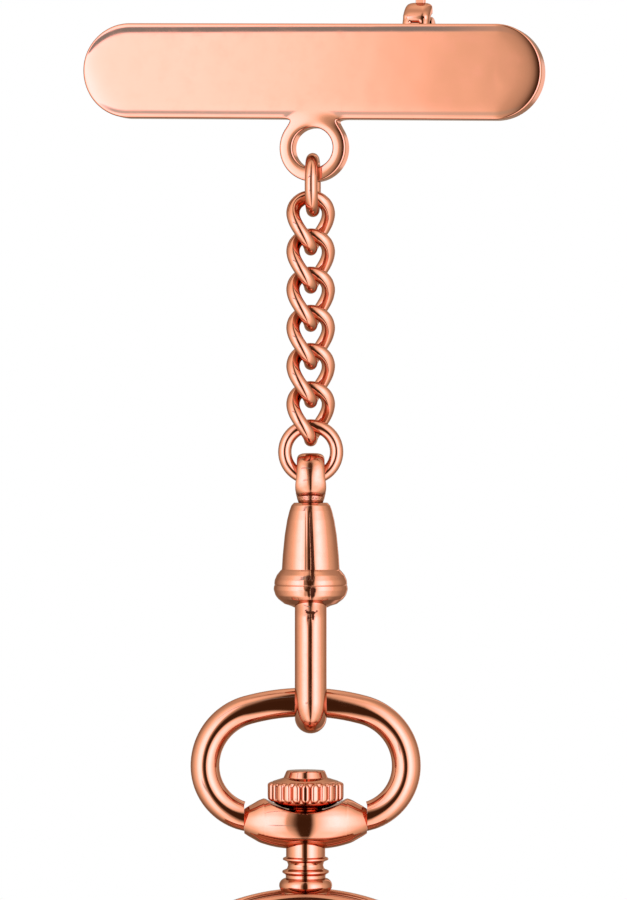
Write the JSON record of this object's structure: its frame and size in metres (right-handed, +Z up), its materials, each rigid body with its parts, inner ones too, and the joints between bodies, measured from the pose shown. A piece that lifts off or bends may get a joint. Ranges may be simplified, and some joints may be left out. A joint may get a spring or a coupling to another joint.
{
  "type": "chatelaine watch pin",
  "caption": "Rose-toned bar pin with a short curb chain and a swivel clasp that carries a closed pocket watch by its bow.",
  "frame": {"origin": "middle of the bar's back face, where the piece is pinned to cloth", "axes": "+Z up, -Y out of the front of the watch; the bar is turned 12 degrees about Z, so that its front faces a little to the left"},
  "size_m": [0.04, 0.0133, 0.1167],
  "materials": {
    "bar_metal": "polished rose gold plate",
    "chain_metal": "polished rose gold plate",
    "clasp_metal": "polished rose gold plate",
    "bow_metal": "polished rose gold plate",
    "crown_metal": "polished rose gold plate",
    "case_metal": "polished rose gold plate"
  },
  "bodies": {
    "bar_and_chain": {"bar_plate": "bar_metal", "pin_stem": "bar_metal", "connecting_link": "chain_metal", "curb_link_1": "chain_metal", "curb_link_2": "chain_metal", "curb_link_3": "chain_metal", "curb_link_4": "chain_metal", "curb_link_5": "chain_metal", "curb_link_6": "chain_metal", "jump_ring": "chain_metal", "swivel_eye": "clasp_metal"},
    "catch": {"catch_lever": "bar_metal"},
    "clasp": {"clasp_body": "clasp_metal"},
    "gate": {"hook_gate": "clasp_metal"},
    "bow": {"bow": "bow_metal"},
    "watch": {"pendant": "bow_metal", "case_middle": "case_metal", "front_cover": "case_metal", "back_cover": "case_metal"},
    "crown": {"crown": "crown_metal"}
  },
  "joints": [
    {"name": "catch_turn", "type": "hinge", "parent": "bar_and_chain", "child": "catch", "pos_m": [0.00911, 0.00067, 0.00313], "axis": [0.978, -0.2079, -0.0192], "range_deg": [-88, 0]},
    {"name": "clasp_swivel", "type": "hinge", "parent": "bar_and_chain", "child": "clasp", "pos_m": [-0.00038, -0.0011, -0.0391], "axis": [0, 0, 1], "continuous": true},
    {"name": "gate_hinge", "type": "hinge", "parent": "clasp", "child": "gate", "pos_m": [-0.00038, 0.00115, -0.04735], "axis": [1, 0, 0], "range_deg": [-38, 0], "stiffness_Nm_per_rad": 0.0002, "springref_deg": 20.05},
    {"name": "bow_swing", "type": "hinge", "parent": "clasp", "child": "bow", "pos_m": [-0.00038, -0.0011, -0.0545], "axis": [1, 0, 0], "range_deg": [-45, 45]},
    {"name": "watch_swing", "type": "hinge", "parent": "bow", "child": "watch", "pos_m": [-0.00082, -0.0011, -0.06465], "axis": [1, 0, 0], "range_deg": [-90, 90]},
    {"name": "crown_wind", "type": "hinge", "parent": "watch", "child": "crown", "pos_m": [-0.00082, -0.0011, -0.0622], "axis": [0, 0, 1], "continuous": true}
  ]
}
